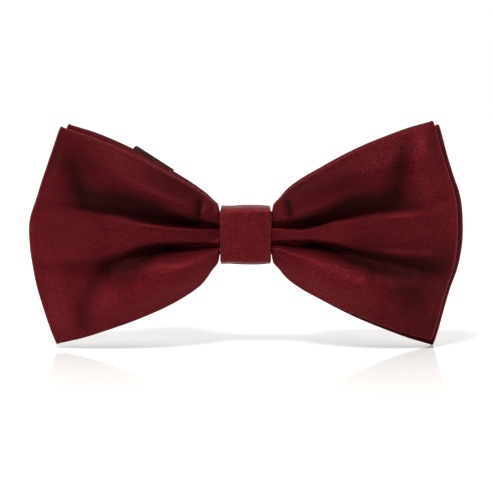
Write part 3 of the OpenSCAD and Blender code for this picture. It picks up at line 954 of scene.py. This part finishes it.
def band_round_knot(name, inset, thickness, half_w, pillow, lap):
    """A folded band of cloth round the knot, its end lapped over its start underneath."""
    outline = knot_path(inset + thickness / 2)
    under = np.array([LAP_Y, outline[:, 1].min()])
    start = int(np.argmin(np.linalg.norm(outline - under, axis=1)))
    outline = np.roll(outline, -start - 1, 0)
    outline = np.vstack([under, outline])
    path, at = resampled(outline, 150)
    ahead = directions(path)
    normal = np.stack([ahead[:, 1], -ahead[:, 0]], 1)
    centre = path.mean(0)
    if ((path - centre) * normal).sum() < 0:
        normal = -normal
    if lap:
        extra = int(150 * lap / at[-1])
        path = np.vstack([path, path[1:extra + 1]])
        normal = np.vstack([normal, normal[1:extra + 1]])
        at = np.concatenate([at, at[-1] + at[1:extra + 1]])
        lift = smooth(at, at[-1] - 2.4 * lap, at[-1] - 1.1 * lap) * (thickness + 0.05)
    else:
        lift = np.zeros(len(path))
    columns = 28
    half_t = thickness / 2
    inner_w = half_w - half_t
    ends = np.pi * np.arange(1, 4) / 4
    flat = np.linspace(-1, 1, columns + 1) * inner_w
    level = np.ones(columns + 1)
    edge = inner_w + half_t * np.sin(ends)
    xs = np.concatenate([flat, edge, flat[::-1], -edge])
    offs = half_t * np.concatenate([level, np.cos(ends), -level, -np.cos(ends)])
    points, uvs = [], []
    for i, (p, n) in enumerate(zip(path, normal)):
        front = smooth(np.array(-n[0]), 0.3, 0.95)
        swell = pillow * (1 - (xs / half_w) ** 2) * (0.35 + 0.65 * front)
        swell = swell + 0.6 * front * (1 - ((p[1] - centre[1]) / (KNOT_H / 2)) ** 2)
        ripple = (0.10 * pillow * np.sin(1.1 * xs + 0.35 * at[i])
                  + 0.3 * pillow * np.sin(0.5 * xs + 0.7) * (1 - front))
        side = 1 + 0.012 * math.sin(0.45 * at[i]) - 0.02 * (1 - float(front))
        reach = offs + lift[i] + swell + ripple * (np.abs(xs) < half_w)
        points.append(np.stack([xs * side, p[0] + n[0] * reach, p[1] + n[1] * reach], 1))
        uvs.append(np.stack([np.full_like(xs, at[i]), xs], 1) * MM)
    count = len(xs)
    points = np.concatenate(points)
    faces = ring_faces(len(path), count) + end_caps(count, len(points))
    piece = make_piece(name, points, faces, np.concatenate(uvs), 50)
    check_outward(piece)
    return piece, at[-1]


class BOWTIE_OT_knot(bpy.types.Operator):
    """Models the knot's satin wrap, its liner, the slip stitches and the binding thread"""

    bl_idname = "bowtie.knot"
    bl_label = "Knot"

    def execute(self, context):
        finish = finish_settings()
        wrap, length = band_round_knot("knot_wrap_satin", 0, WRAP_T - CLOTH_GAP, KNOT_W / 2,
                                       pillow=0.32, lap=1.4)
        dress(wrap, satin_material("knot_satin_twill", KNOT_TWILL, 1.08, 0.7, (0.75, 0.6, 0.63)),
              "knot_satin", "bow", "knot_wrap")
        liner, length = band_round_knot("knot_liner_canvas", WRAP_T, WALL_T - WRAP_T - CLOTH_GAP,
                                        KNOT_W / 2 - 0.5, pillow=0.04, lap=0)
        dress(liner, woven_material("canvas", finish.canvas, CANVAS_YARNS, use_uv=True),
              "interlining", "bow", "knot_liner")
        thread = woven_material("sewing_thread", finish.thread, THREAD_YARNS)
        coil = tube("binding_thread", self.coil(), THREAD_D / 2 - 0.01, 7)
        dress(coil, thread, "thread", "bow", "pleat_binding_thread")
        stitches = join("slip_stitches", [self.stitch(i) for i in range(7)])
        dress(stitches, thread, "thread", "bow", "knot_stitches")
        return {"FINISHED"}

    def coil(self):
        """Turns of thread wound tightly round the pleats."""
        low, high = box("pleat_binding_thread")
        r = THREAD_D / 2
        half_y, half_z = (high[1] - low[1]) / 2 - r, (high[2] - low[2]) / 2 - r
        mid_y, mid_z = (high[1] + low[1]) / 2, (high[2] + low[2]) / 2
        corner, cut, steps = 0.3, 0.08, 32
        path = []
        for i in range(THREAD_TURNS * steps + 1):
            share = i / steps
            a = 2 * math.pi * share
            c, s = math.cos(a), math.sin(a)
            scale = 1 / max(abs(c), abs(s))
            y, z = half_y * c * scale, half_z * s * scale
            y = math.copysign(min(abs(y), half_y), y)
            z = math.copysign(min(abs(z), half_z), z)
            if abs(y) > half_y - corner and abs(z) > half_z - corner:
                y -= math.copysign(cut, y)
                z -= math.copysign(cut, z)
            path.append(((share - THREAD_TURNS / 2) * THREAD_D, mid_y + y, mid_z + z))
        return path

    def stitch(self, i):
        """One slanting stitch across the lapped edge under the knot."""
        x = (i - 3) * (KNOT_W - 3) / 6
        y, z = LAP_Y, KNOT_LOW[2]
        path = [(x + 0.25 * (t - 0.5), y - 0.75 + 1.5 * t,
                 z - 0.08 - 0.3 * math.sin(math.pi * t)) for t in np.linspace(0, 1, 9)]
        return tube("stitch", path, 0.11, 6)


# ---------------------------------------------------------------- neck strap


def way(degrees):
    return np.array([math.cos(math.radians(degrees)), math.sin(math.radians(degrees))])


def sideways(degrees):
    """The way a quarter turn on from way(degrees)."""
    along = way(degrees)
    return np.array([-along[1], along[0]])


LEFT_STOPS = [np.array([-ARM_X, 0.0]), np.array([-OUTER_X, 0.0]), LEFT_INNER]
LEFT_WAYS = [180.0, math.degrees(math.atan2(LEFT_INNER[1], LEFT_INNER[0] + OUTER_X)), HOOK_TURN]
RIGHT_STOPS = [np.array([x, 0.0]) for x in (ARM_X, OUTER_X, INNER_X, OUTER_X, INNER_X)]
RIGHT_WAYS = [0.0, 180.0, 0.0, 180.0, 0.0]
HOOK_STOP = LEFT_INNER + HOOK_RUN * way(HOOK_TURN)
EYE_STOP = np.array([EYE_X, 0.0])
SLIDER_STOP = np.array([SLIDER_X, 0.0])
VISUAL_T = STRAP_T - 0.12


def run_y(k):
    return ARM_Y + k * PITCH


def crease(ways, k):
    return (ways[k - 1] + ways[k]) / 2


def strap_section(half_w, half_t):
    """Across and off places round the strap's section: pressed edges and a faint middle seam."""
    columns = 20
    flat = np.linspace(-1, 1, columns + 1)
    ends = np.pi * np.arange(1, 4) / 4
    body = half_t * (0.80 + 0.20 * (1 - flat ** 6))
    seam = 1 - 0.16 * np.exp(-(flat / 0.05) ** 2)
    edge = body[0]
    across = np.concatenate([flat, np.ones(3), flat[::-1], -np.ones(3)])
    off = np.concatenate([body, edge * np.cos(ends), -(body * seam)[::-1], -edge * np.cos(ends)])
    level = np.zeros(columns + 1)
    bulge = np.concatenate([level, np.sin(ends) * edge, level, -np.sin(ends) * edge])
    return across * (half_w - edge) / half_w + bulge / half_w, off


def strap_piece(name, place, stations):
    """A length of strap, where place(station, across, off) gives its points."""
    across, off = strap_section(STRAP_W / 2, VISUAL_T / 2)
    rings = np.array([place(s, across, off) for s in stations])
    count = len(across)
    centre = count // 4
    steps = np.diff(rings[:, centre], axis=0, prepend=rings[:1, centre])
    run = np.cumsum(np.linalg.norm(steps, axis=1))
    faces = ring_faces(len(rings), count) + end_caps(count, len(rings) * count)
    uvs = np.stack([np.repeat(run[:, None], count, 1),
                    np.tile(across * STRAP_W / 2, (len(rings), 1))], -1)
    piece = make_piece(name, rings.reshape(-1, 3), faces, uvs.reshape(-1, 2) * MM, 50)
    check_outward(piece)
    return piece


def flat_run(name, p, q, a, c0, c1, y):
    """A flat run of strap from p to q, the way a, its ends cut along the creases c0 and c1."""
    def place(s, across, off):
        def corner(at, c):
            lean = math.cos(math.radians(c - a)) / math.sin(math.radians(c - a))
            normal = sideways(a) + lean * way(a)
            return at + np.outer(across * STRAP_W / 2, normal)
        xz = (1 - s) * corner(p, c0) + s * corner(q, c1)
        wave = 0.05 * math.sin(math.pi * s) * np.cos(9 * s + across)
        return np.stack([xz[:, 0], y + off + wave, xz[:, 1]], 1)
    return strap_piece(name, place, np.linspace(0, 1, 22))


def fold_turn(name, p, a, c, y):
    """The turn of strap at p, from a run the way a, about a crease along c."""
    out = c - 90 if math.cos(math.radians(c - 90 - a)) > 0 else c + 90
    length = STRAP_W / abs(math.sin(math.radians(c - a)))
    outward, along_fold = way(out), sideways(out)

    def place(turn, across, off):
        r = PITCH / 2 - off
        xz = p + np.outer(r * math.cos(turn), outward) + np.outer(across * length / 2, along_fold)
        return np.stack([xz[:, 0], y + PITCH / 2 + r * math.sin(turn), xz[:, 1]], 1)
    return strap_piece(name, place, np.linspace(-math.pi / 2, math.pi / 2, 15))


def ribbon(name, at, a, y, line):
    """Strap along a line of (along, lift) points, from the place at, the way a."""
    line = np.array(line, float)
    knots = np.concatenate([[0], np.cumsum(np.linalg.norm(np.diff(line, axis=0), axis=1))])
    places = np.linspace(0, knots[-1], max(24, 2 * len(line)))
    places = np.unique(np.concatenate([places, knots]))
    path = np.stack([np.interp(places, knots, line[:, k]) for k in range(2)], 1)
    for _ in range(2):
        path[1:-1] = 0.25 * path[:-2] + 0.5 * path[1:-1] + 0.25 * path[2:]
    ahead = directions(path)
    def place(i, across, off):
        normal = np.array([-ahead[i, 1], ahead[i, 0]])
        local = path[i] + np.outer(off, normal)
        xz = at + np.outer(local[:, 0], way(a)) + np.outer(across * STRAP_W / 2, sideways(a))
        return np.stack([xz[:, 0], y + local[:, 1], xz[:, 1]], 1)
    return strap_piece(name, place, range(len(path)))


def arc(cx, cy, r, start, end, steps):
    turn = np.radians(np.linspace(start, end, steps + 1))
    return [(cx + r * math.cos(t), cy + r * math.sin(t)) for t in turn]


def round_bar(start, back):
    """A line of strap from start, once round a bar, and back along itself."""
    r = BAR_R + BAR_PLAY + STRAP_T / 2
    return ([(start, 0), (0, 0)] + arc(0, BAR_LIFT, r, -80, 80, 8)
            + [(-0.4, 2 * BAR_LIFT), (-1.6, 2 * BAR_LIFT - 0.1), (-3.4, BACK_LIFT + 0.05),
               (-4.4, BACK_LIFT), (back, BACK_LIFT)])


class BOWTIE_OT_strap(bpy.types.Operator):
    """Models the neck strap: its centre, its bends, its runs and the folds between them"""

    bl_idname = "bowtie.strap"
    bl_label = "Neck strap"

    def execute(self, context):
        satin = satin_material("strap_satin_twill", STRAP_TWILL, 0.9)
        def put(piece, body, node):
            return dress(piece, satin, "strap_satin", body, node)
        level = [(-EXIT_X, 0), (-EXIT_X / 2, 0.02), (0, 0), (EXIT_X / 2, 0.02), (EXIT_X, 0)]
        put(ribbon("strap_middle", np.zeros(2), 0, STRAP_Y, level), "bow", "strap_centre")
        self.arm("left", LEFT_STOPS, LEFT_WAYS, ["left_arm", "left_run_2", "left_end"], put)
        self.arm("right", RIGHT_STOPS, RIGHT_WAYS,
                 ["right_arm", "right_run_2", "right_run_3", "right_run_4", "right_end"], put)
        self.left_end(put)
        self.right_end(put)
        return {"FINISHED"}

    def arm(self, name, stops, ways, bodies, put):
        """The bend by the knot, then every run and fold that lies flat."""
        side = LEFT if name == "left" else RIGHT
        rise, flat, turn = ARM_Y - STRAP_Y, 0.3, 1.0
        line = [(EXIT_X, 0), (EXIT_X + flat, 0), (EXIT_X + flat + turn, 0.12 * rise),
                ((EXIT_X + ARM_X) / 2, rise / 2), (ARM_X - flat - turn, 0.88 * rise),
                (ARM_X - flat, rise), (ARM_X, rise)]
        bend = ribbon(f"strap_{name}_turn", np.zeros(2), 0, STRAP_Y, line)
        if side == LEFT:
            bend.data.transform(Matrix.Diagonal((-1, 1, 1, 1)))
            face_out(bend)
        put(bend, None, f"strap_{name}_bend")
        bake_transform(bend)
        for k in range(len(stops) - 1):
            first = 90 if k == 0 else crease(ways, k)
            put(flat_run(f"strap_{name}_length_{k + 1}", stops[k], stops[k + 1], ways[k], first,
                         crease(ways, k + 1), run_y(k)), bodies[k], f"strap_{name}_run_{k + 1}")
            fold = fold_turn(f"strap_{name}_crease_{k + 1}", stops[k + 1], ways[k],
                             crease(ways, k + 1), run_y(k))
            put(fold, None, f"strap_{name}_fold_{k + 1}")
            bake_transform(fold)

    def left_end(self, put):
        """The last run on the left, looped round the hook's bar and tacked to itself."""
        lead = 2.2
        near = LEFT_INNER + lead * way(HOOK_TURN)
        parts = [flat_run("lead", LEFT_INNER, near, HOOK_TURN, crease(LEFT_WAYS, 2), HOOK_TURN + 90,
                          run_y(2)),
                 ribbon("loop", HOOK_STOP, HOOK_TURN, run_y(2),
                        round_bar(lead - HOOK_RUN, -HOOK_TAIL))]
        put(join("strap_left_hook_loop", parts), "left_end", "strap_left_run_3")

    def right_end(self, put):
        """The last run on the right, round the eye's bar, back and into the slider."""
        put(ribbon("strap_right_eye_loop", EYE_STOP, 0, run_y(4),
                   round_bar(INNER_X - EYE_X, SLIDER_X + SEWN_REACH - EYE_X)), "right_end",
            "strap_right_run_5")
        turn_r = METAL_T / 2 + 0.05 + STRAP_T / 2
        over, low = SLIDER_LIFT + turn_r, SLIDER_LIFT - turn_r
        line = ([(SEWN_REACH - 0.05, BACK_LIFT), (SLIDER_L / 2, BACK_LIFT), (1, low)]
                + arc(0, SLIDER_LIFT, turn_r, -90, -270, 10)
                + [(0.8, over - 0.1), (1.7, over - 0.7)])
        put(ribbon("strap_sewn_end", SLIDER_STOP, 0, run_y(4), line), "adjuster",
            "adjuster_sewn_end")


def thread_rows(name, at, a, lift, places, body, node):
    """Rows of short stitches across a sewn end of strap."""
    stitches = []
    gap, depth = 1.35, 0.09
    for x in places:
        for i in range(-3, 4):
            z0 = i * gap + 0.3 * (x - places[0])
            path = []
            for t in np.linspace(0, 1, 7):
                local = x + 0.12 * t
                across = z0 - 0.5 + t
                xz = at + local * way(a) + across * sideways(a)
                path.append((xz[0], lift + depth * math.sin(math.pi * t) - 0.03, xz[1]))
            stitches.append(tube("stitch", path, 0.13, 6))
    thread = woven_material("sewing_thread", finish_settings().thread, THREAD_YARNS)
    dress(join(name, stitches), thread, "thread", body, node)


class BOWTIE_OT_tacks(bpy.types.Operator):
    """Models the stitches that hold the strap's looped and sewn ends"""

    bl_idname = "bowtie.tacks"
    bl_label = "Tack stitches"

    def execute(self, context):
        thread_rows("hook_loop_tack", HOOK_STOP, HOOK_TURN, run_y(2) + BACK_LIFT + VISUAL_T / 2,
                    [x - HOOK_TAIL for x in (1.2, 1.9, 3.2)], "left_end", "hook_end_tack")
        top = run_y(4) + SLIDER_LIFT + METAL_T / 2 + 0.05 + STRAP_T
        thread_rows("slider_end_tack", SLIDER_STOP, 0, top - 0.02, [-0.35, 0.25, 0.85], "adjuster",
                    "adjuster_tack")
        return {"FINISHED"}


class BOWTIE_OT_metal(bpy.types.Operator):
    """Gives the hook, the eye and the slider their nickel plate"""

    bl_idname = "bowtie.metal"
    bl_label = "Metal parts"

    def execute(self, context):
        nickel = nickel_material()
        for node in ("neck_hook", "neck_eye", "adjuster_slider"):
            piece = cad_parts[node]
            piece.data.materials.clear()
            piece.data.materials.append(nickel)
        return {"FINISHED"}


# ---------------------------------------------------------------- stage


class BOWTIE_OT_stage(bpy.types.Operator):
    """Adds the pale glossy floor, the soft lights and the camera"""

    bl_idname = "bowtie.stage"
    bl_label = "Stage"

    def execute(self, context):
        self.floor()
        self.lights()
        self.camera(context)
        context.scene.view_settings.view_transform = "Standard"
        return {"FINISHED"}

    def floor(self):
        bpy.ops.object.select_all(action="DESELECT")
        bpy.ops.mesh.primitive_plane_add(size=8, location=(0, 0, 0))
        floor = bpy.context.active_object
        floor.name = "floor"
        lowest = min(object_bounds()[0][2], -0.03)
        floor.data.transform(Matrix.Translation((0, 0, lowest - 0.0001)))
        material, tree, shader = start_material("floor_gloss")
        shader.inputs["Base Color"].default_value = (*finish_settings().floor, 1)
        shader.inputs["Specular IOR Level"].default_value = 0.35
        shader.inputs["Emission Color"].default_value = (1, 0.99, 0.97, 1)
        shader.inputs["Emission Strength"].default_value = 0.12
        place = tree.nodes.new("ShaderNodeTexCoord")
        cloud = noise(tree, place.outputs["Object"], 14, 2)
        rough = maths(tree, "MULTIPLY_ADD", cloud, 0.03, 0.07)
        tree.links.new(rough, shader.inputs["Roughness"])
        floor.data.materials.append(material)
        floor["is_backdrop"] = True

    def lights(self):
        studio = studio_settings()
        world = bpy.data.worlds.new("soft_sky")
        world.use_nodes = True
        tree = world.node_tree
        background = tree.nodes["Background"]
        background.inputs["Color"].default_value = (1, 0.995, 0.985, 1)
        view = tree.nodes.new("ShaderNodeTexCoord")
        split = tree.nodes.new("ShaderNodeSeparateXYZ")
        tree.links.new(view.outputs["Generated"], split.inputs[0])
        behind = tree.nodes.new("ShaderNodeMapRange")
        behind.interpolation_type = "SMOOTHSTEP"
        behind.inputs["From Min"].default_value = -0.35
        behind.inputs["From Max"].default_value = 0.35
        behind.inputs["To Min"].default_value = studio.front_sky
        behind.inputs["To Max"].default_value = studio.sky
        tree.links.new(split.outputs["Y"], behind.inputs["Value"])
        tree.links.new(behind.outputs["Result"], background.inputs["Strength"])
        bpy.context.scene.world = world
        for name, place, power in (("key", (-0.22, -0.5, 0.95), studio.key_power),
                                   ("side", (-1.0, -0.35, 0.12), studio.fill_power),
                                   ("fill", (0.85, -0.5, 0.25), studio.fill_power)):
            light = bpy.data.lights.new(name, "AREA")
            light.shape = "DISK"
            light.size = 0.4
            light.energy = power
            lamp = bpy.data.objects.new(name, light)
            bpy.context.scene.collection.objects.link(lamp)
            lamp.location = place
            lamp.rotation_euler = (-Vector(place)).to_track_quat("-Z", "Y").to_euler()

    def camera(self, context):
        studio = studio_settings()
        aim = Vector((0.1, 0, -3.9)) * MM
        lens = bpy.data.cameras.new("camera")
        lens.lens = studio.lens
        lens.sensor_width = 36
        lens.clip_start, lens.clip_end = 0.05, 20
        camera = bpy.data.objects.new("camera", lens)
        context.scene.collection.objects.link(camera)
        back = Vector((0, -math.cos(studio.elevation), math.sin(studio.elevation)))
        camera.location = aim + back * studio.distance
        camera.rotation_euler = (-back).to_track_quat("-Z", "Y").to_euler()
        context.scene.camera = camera


class BOWTIE_PT_panel(bpy.types.Panel):
    """Lists the sizes, the finishes and the steps that build the bow tie"""

    bl_idname = "BOWTIE_PT_panel"
    bl_label = "Double Bow Tie"
    bl_space_type = "VIEW_3D"
    bl_region_type = "UI"
    bl_category = "Bow Tie"

    def draw(self, context):
        scene = context.scene
        for settings in (scene.bow_tie_sizes, scene.bow_tie_finish, scene.bow_tie_studio):
            column = self.layout.column(align=True)
            for name in settings.__annotations__:
                column.prop(settings, name)
        for operator in STEPS:
            self.layout.operator(operator.bl_idname)


STEPS = (BOWTIE_OT_bows, BOWTIE_OT_knot, BOWTIE_OT_strap, BOWTIE_OT_tacks, BOWTIE_OT_metal,
         BOWTIE_OT_stage)
SETTINGS = {"bow_tie_sizes": BowSettings, "bow_tie_finish": FinishSettings,
            "bow_tie_studio": StudioSettings}


def register():
    for each in (*SETTINGS.values(), *STEPS, BOWTIE_PT_panel):
        bpy.utils.register_class(each)
    for name, group in SETTINGS.items():
        setattr(bpy.types.Scene, name, bpy.props.PointerProperty(type=group))


def unregister():
    for name in SETTINGS:
        delattr(bpy.types.Scene, name)
    for each in (BOWTIE_PT_panel, *reversed(STEPS), *reversed(SETTINGS.values())):
        bpy.utils.unregister_class(each)


def main():
    register()
    bpy.ops.bowtie.bows()
    bpy.ops.bowtie.knot()
    bpy.ops.bowtie.strap()
    bpy.ops.bowtie.tacks()
    bpy.ops.bowtie.metal()
    bpy.ops.bowtie.stage()


if __name__ == "__main__":
    main()
